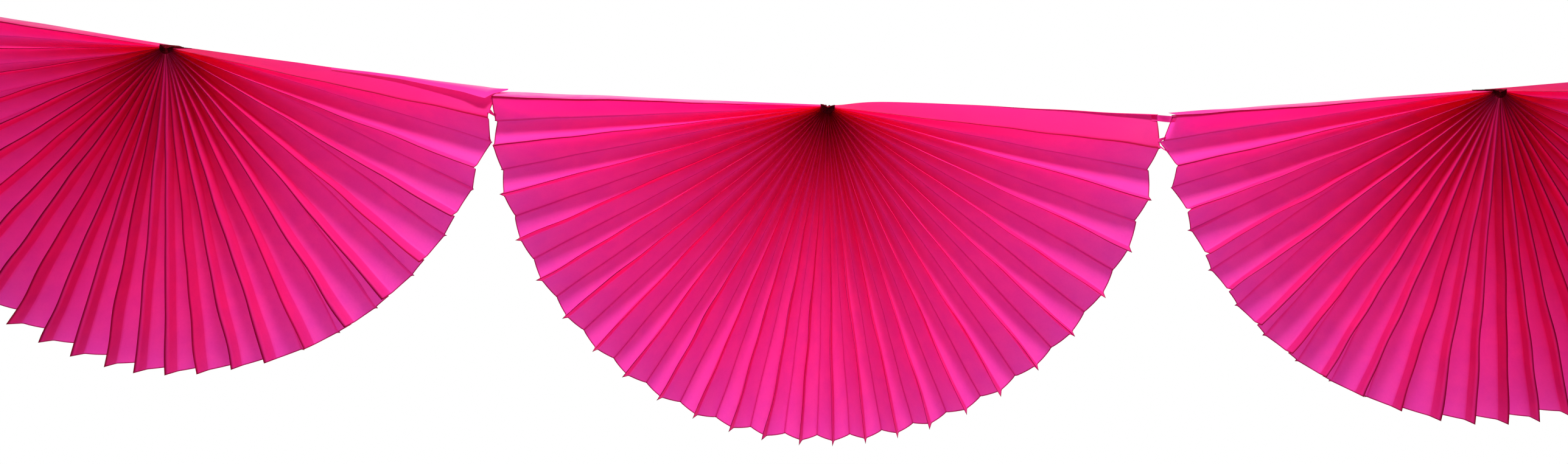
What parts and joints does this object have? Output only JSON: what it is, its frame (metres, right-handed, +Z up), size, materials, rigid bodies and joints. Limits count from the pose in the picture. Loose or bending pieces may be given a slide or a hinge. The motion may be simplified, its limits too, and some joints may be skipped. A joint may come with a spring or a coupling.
{
  "type": "paper fan garland",
  "caption": "Garland of half-disc accordion-pleated tissue paper fans, stapled at the hub, joined rim to rim, that fold up like hand fans.",
  "frame": {"origin": "hub of the middle fan, where all its folds meet, halfway through its depth", "axes": "+X along the row, from the left fan to the right one; +Y through the fans' depth, away from the viewer; +Z up, so the fans hang to -Z"},
  "size_m": [1.8377, 0.04, 0.3806],
  "materials": {
    "tissue": "thin translucent tissue, hot pink",
    "pressed_tissue": "pressed stack of tissue edges, dark crimson",
    "staple_wire": "bright galvanised wire"
  },
  "bodies": {
    "middle_hub": {"middle_hub_spine": "pressed_tissue", "middle_hub_staple": "staple_wire"},
    "middle_left_leaf": {"middle_left_leaf": "tissue"},
    "middle_gore_1": {"middle_gore_1": "tissue"},
    "middle_gore_2": {"middle_gore_2": "tissue"},
    "middle_gore_3": {"middle_gore_3": "tissue"},
    "middle_gore_4": {"middle_gore_4": "tissue"},
    "middle_gore_5": {"middle_gore_5": "tissue"},
    "middle_gore_6": {"middle_gore_6": "tissue"},
    "middle_gore_7": {"middle_gore_7": "tissue"},
    "middle_gore_8": {"middle_gore_8": "tissue"},
    "middle_right_leaf": {"middle_right_leaf": "tissue"},
    "left_joint": {"left_joint_upper_tab": "tissue", "left_joint_lower_tab": "tissue"},
    "left_right_leaf": {"left_right_leaf": "tissue"},
    "left_hub": {"left_hub_spine": "pressed_tissue", "left_hub_staple": "staple_wire"},
    "left_gore_1": {"left_gore_1": "tissue"},
    "left_gore_2": {"left_gore_2": "tissue"},
    "left_gore_3": {"left_gore_3": "tissue"},
    "left_gore_4": {"left_gore_4": "tissue"},
    "left_gore_5": {"left_gore_5": "tissue"},
    "left_gore_6": {"left_gore_6": "tissue"},
    "left_gore_7": {"left_gore_7": "tissue"},
    "left_gore_8": {"left_gore_8": "tissue"},
    "left_left_leaf": {"left_left_leaf": "tissue"},
    "right_joint": {"right_joint_upper_tab": "tissue", "right_joint_lower_tab": "tissue"},
    "right_left_leaf": {"right_left_leaf": "tissue"},
    "right_hub": {"right_hub_spine": "pressed_tissue", "right_hub_staple": "staple_wire"},
    "right_gore_1": {"right_gore_1": "tissue"},
    "right_gore_2": {"right_gore_2": "tissue"},
    "right_gore_3": {"right_gore_3": "tissue"},
    "right_gore_4": {"right_gore_4": "tissue"},
    "right_gore_5": {"right_gore_5": "tissue"},
    "right_gore_6": {"right_gore_6": "tissue"},
    "right_gore_7": {"right_gore_7": "tissue"},
    "right_gore_8": {"right_gore_8": "tissue"},
    "right_right_leaf": {"right_right_leaf": "tissue"}
  },
  "joints": [
    {"name": "fold", "type": "hinge", "parent": "middle_hub", "child": "middle_left_leaf", "pos_m": [0, 0, 0], "axis": [0, -1, 0], "range_deg": [0, 82.5]},
    {"name": "middle_gore_1_fold", "type": "hinge", "parent": "middle_hub", "child": "middle_gore_1", "pos_m": [0, 0, 0], "axis": [0, -1, 0], "range_deg": [0, 70.99], "deforming": ["middle_gore_1"]},
    {"name": "middle_gore_2_fold", "type": "hinge", "parent": "middle_hub", "child": "middle_gore_2", "pos_m": [0, 0, 0], "axis": [0, -1, 0], "range_deg": [0, 48.86], "deforming": ["middle_gore_2"]},
    {"name": "middle_gore_3_fold", "type": "hinge", "parent": "middle_hub", "child": "middle_gore_3", "pos_m": [0, 0, 0], "axis": [0, -1, 0], "range_deg": [0, 28.91], "deforming": ["middle_gore_3"]},
    {"name": "middle_gore_4_fold", "type": "hinge", "parent": "middle_hub", "child": "middle_gore_4", "pos_m": [0, 0, 0], "axis": [0, -1, 0], "range_deg": [0, 10.92], "deforming": ["middle_gore_4"]},
    {"name": "middle_gore_5_fold", "type": "hinge", "parent": "middle_hub", "child": "middle_gore_5", "pos_m": [0, 0, 0], "axis": [0, -1, 0], "range_deg": [-5.24, 0], "deforming": ["middle_gore_5"]},
    {"name": "middle_gore_6_fold", "type": "hinge", "parent": "middle_hub", "child": "middle_gore_6", "pos_m": [0, 0, 0], "axis": [0, -1, 0], "range_deg": [-21.67, 0], "deforming": ["middle_gore_6"]},
    {"name": "middle_gore_7_fold", "type": "hinge", "parent": "middle_hub", "child": "middle_gore_7", "pos_m": [0, 0, 0], "axis": [0, -1, 0], "range_deg": [-41.63, 0], "deforming": ["middle_gore_7"]},
    {"name": "middle_gore_8_fold", "type": "hinge", "parent": "middle_hub", "child": "middle_gore_8", "pos_m": [0, 0, 0], "axis": [0, -1, 0], "range_deg": [-65.46, 0], "deforming": ["middle_gore_8"]},
    {"name": "middle_right_leaf_fold", "type": "hinge", "parent": "middle_hub", "child": "middle_right_leaf", "pos_m": [0, 0, 0], "axis": [0, -1, 0], "range_deg": [-82.51, 0]},
    {"name": "left_joint_fold", "type": "hinge", "parent": "middle_left_leaf", "child": "left_joint", "pos_m": [-0.30515, 0, 0.005], "axis": [0, -1, 0], "range_deg": [-158.51, 0], "deforming": ["left_joint_upper_tab", "left_joint_lower_tab"]},
    {"name": "left_drape", "type": "hinge", "parent": "left_joint", "child": "left_right_leaf", "pos_m": [-0.31085, 0, 0], "axis": [0, -1, 0], "range_deg": [-12, 6.5]},
    {"name": "left_hub_fold", "type": "hinge", "parent": "left_right_leaf", "child": "left_hub", "pos_m": [-0.61404, 0, 0.03454], "axis": [0, -1, 0], "range_deg": [0, 82.51]},
    {"name": "left_gore_1_fold", "type": "hinge", "parent": "left_right_leaf", "child": "left_gore_1", "pos_m": [-0.61404, 0, 0.03454], "axis": [0, -1, 0], "range_deg": [0, 153.49], "deforming": ["left_gore_1"]},
    {"name": "left_gore_2_fold", "type": "hinge", "parent": "left_right_leaf", "child": "left_gore_2", "pos_m": [-0.61404, 0, 0.03454], "axis": [0, -1, 0], "range_deg": [0, 131.36], "deforming": ["left_gore_2"]},
    {"name": "left_gore_3_fold", "type": "hinge", "parent": "left_right_leaf", "child": "left_gore_3", "pos_m": [-0.61404, 0, 0.03454], "axis": [0, -1, 0], "range_deg": [0, 111.41], "deforming": ["left_gore_3"]},
    {"name": "left_gore_4_fold", "type": "hinge", "parent": "left_right_leaf", "child": "left_gore_4", "pos_m": [-0.61404, 0, 0.03454], "axis": [0, -1, 0], "range_deg": [0, 93.42], "deforming": ["left_gore_4"]},
    {"name": "left_gore_5_fold", "type": "hinge", "parent": "left_right_leaf", "child": "left_gore_5", "pos_m": [-0.61404, 0, 0.03454], "axis": [0, -1, 0], "range_deg": [0, 77.28], "deforming": ["left_gore_5"]},
    {"name": "left_gore_6_fold", "type": "hinge", "parent": "left_right_leaf", "child": "left_gore_6", "pos_m": [-0.61404, 0, 0.03454], "axis": [0, -1, 0], "range_deg": [0, 60.85], "deforming": ["left_gore_6"]},
    {"name": "left_gore_7_fold", "type": "hinge", "parent": "left_right_leaf", "child": "left_gore_7", "pos_m": [-0.61404, 0, 0.03454], "axis": [0, -1, 0], "range_deg": [0, 40.89], "deforming": ["left_gore_7"]},
    {"name": "left_gore_8_fold", "type": "hinge", "parent": "left_right_leaf", "child": "left_gore_8", "pos_m": [-0.61404, 0, 0.03454], "axis": [0, -1, 0], "range_deg": [0, 17.06], "deforming": ["left_gore_8"]},
    {"name": "left_left_leaf_fold", "type": "hinge", "parent": "left_right_leaf", "child": "left_left_leaf", "pos_m": [-0.61404, 0, 0.03454], "axis": [0, -1, 0], "range_deg": [0, 165.01]},
    {"name": "right_joint_fold", "type": "hinge", "parent": "middle_right_leaf", "child": "right_joint", "pos_m": [0.30515, 0, 0.005], "axis": [0, -1, 0], "range_deg": [0, 158.51], "deforming": ["right_joint_upper_tab", "right_joint_lower_tab"]},
    {"name": "right_drape", "type": "hinge", "parent": "right_joint", "child": "right_left_leaf", "pos_m": [0.31085, 0, 0], "axis": [0, 1, 0], "range_deg": [-12, 6.5]},
    {"name": "right_hub_fold", "type": "hinge", "parent": "right_left_leaf", "child": "right_hub", "pos_m": [0.61404, 0, 0.03454], "axis": [0, -1, 0], "range_deg": [-82.51, 0]},
    {"name": "right_gore_1_fold", "type": "hinge", "parent": "right_left_leaf", "child": "right_gore_1", "pos_m": [0.61404, 0, 0.03454], "axis": [0, -1, 0], "range_deg": [-11.53, 0], "deforming": ["right_gore_1"]},
    {"name": "right_gore_2_fold", "type": "hinge", "parent": "right_left_leaf", "child": "right_gore_2", "pos_m": [0.61404, 0, 0.03454], "axis": [0, -1, 0], "range_deg": [-33.66, 0], "deforming": ["right_gore_2"]},
    {"name": "right_gore_3_fold", "type": "hinge", "parent": "right_left_leaf", "child": "right_gore_3", "pos_m": [0.61404, 0, 0.03454], "axis": [0, -1, 0], "range_deg": [-53.61, 0], "deforming": ["right_gore_3"]},
    {"name": "right_gore_4_fold", "type": "hinge", "parent": "right_left_leaf", "child": "right_gore_4", "pos_m": [0.61404, 0, 0.03454], "axis": [0, -1, 0], "range_deg": [-71.6, 0], "deforming": ["right_gore_4"]},
    {"name": "right_gore_5_fold", "type": "hinge", "parent": "right_left_leaf", "child": "right_gore_5", "pos_m": [0.61404, 0, 0.03454], "axis": [0, -1, 0], "range_deg": [-87.74, 0], "deforming": ["right_gore_5"]},
    {"name": "right_gore_6_fold", "type": "hinge", "parent": "right_left_leaf", "child": "right_gore_6", "pos_m": [0.61404, 0, 0.03454], "axis": [0, -1, 0], "range_deg": [-104.17, 0], "deforming": ["right_gore_6"]},
    {"name": "right_gore_7_fold", "type": "hinge", "parent": "right_left_leaf", "child": "right_gore_7", "pos_m": [0.61404, 0, 0.03454], "axis": [0, -1, 0], "range_deg": [-124.13, 0], "deforming": ["right_gore_7"]},
    {"name": "right_gore_8_fold", "type": "hinge", "parent": "right_left_leaf", "child": "right_gore_8", "pos_m": [0.61404, 0, 0.03454], "axis": [0, -1, 0], "range_deg": [-147.96, 0], "deforming": ["right_gore_8"]},
    {"name": "right_right_leaf_fold", "type": "hinge", "parent": "right_left_leaf", "child": "right_right_leaf", "pos_m": [0.61404, 0, 0.03454], "axis": [0, -1, 0], "range_deg": [-165.01, 0]}
  ],
  "couplings": [
    {"joint": "middle_gore_1_fold", "follows": "fold", "ratio": 0.86034},
    {"joint": "middle_gore_2_fold", "follows": "fold", "ratio": 0.59217},
    {"joint": "middle_gore_3_fold", "follows": "fold", "ratio": 0.3503},
    {"joint": "middle_gore_4_fold", "follows": "fold", "ratio": 0.13223},
    {"joint": "middle_gore_5_fold", "follows": "fold", "ratio": -0.063426},
    {"joint": "middle_gore_6_fold", "follows": "fold", "ratio": -0.26257},
    {"joint": "middle_gore_7_fold", "follows": "fold", "ratio": -0.50444},
    {"joint": "middle_gore_8_fold", "follows": "fold", "ratio": -0.7933},
    {"joint": "middle_right_leaf_fold", "follows": "fold", "ratio": -1},
    {"joint": "left_joint_fold", "follows": "fold", "ratio": -1.9212},
    {"joint": "left_hub_fold", "follows": "fold", "ratio": 1},
    {"joint": "left_gore_1_fold", "follows": "fold", "ratio": 1.8603},
    {"joint": "left_gore_2_fold", "follows": "fold", "ratio": 1.5922},
    {"joint": "left_gore_3_fold", "follows": "fold", "ratio": 1.3503},
    {"joint": "left_gore_4_fold", "follows": "fold", "ratio": 1.1322},
    {"joint": "left_gore_5_fold", "follows": "fold", "ratio": 0.93657},
    {"joint": "left_gore_6_fold", "follows": "fold", "ratio": 0.73743},
    {"joint": "left_gore_7_fold", "follows": "fold", "ratio": 0.49556},
    {"joint": "left_gore_8_fold", "follows": "fold", "ratio": 0.2067},
    {"joint": "left_left_leaf_fold", "follows": "fold", "ratio": 2},
    {"joint": "right_joint_fold", "follows": "fold", "ratio": 1.9212},
    {"joint": "right_hub_fold", "follows": "fold", "ratio": -1},
    {"joint": "right_gore_1_fold", "follows": "fold", "ratio": -0.13966},
    {"joint": "right_gore_2_fold", "follows": "fold", "ratio": -0.40783},
    {"joint": "right_gore_3_fold", "follows": "fold", "ratio": -0.6497},
    {"joint": "right_gore_4_fold", "follows": "fold", "ratio": -0.86777},
    {"joint": "right_gore_5_fold", "follows": "fold", "ratio": -1.0634},
    {"joint": "right_gore_6_fold", "follows": "fold", "ratio": -1.2626},
    {"joint": "right_gore_7_fold", "follows": "fold", "ratio": -1.5044},
    {"joint": "right_gore_8_fold", "follows": "fold", "ratio": -1.7933},
    {"joint": "right_right_leaf_fold", "follows": "fold", "ratio": -2}
  ]
}
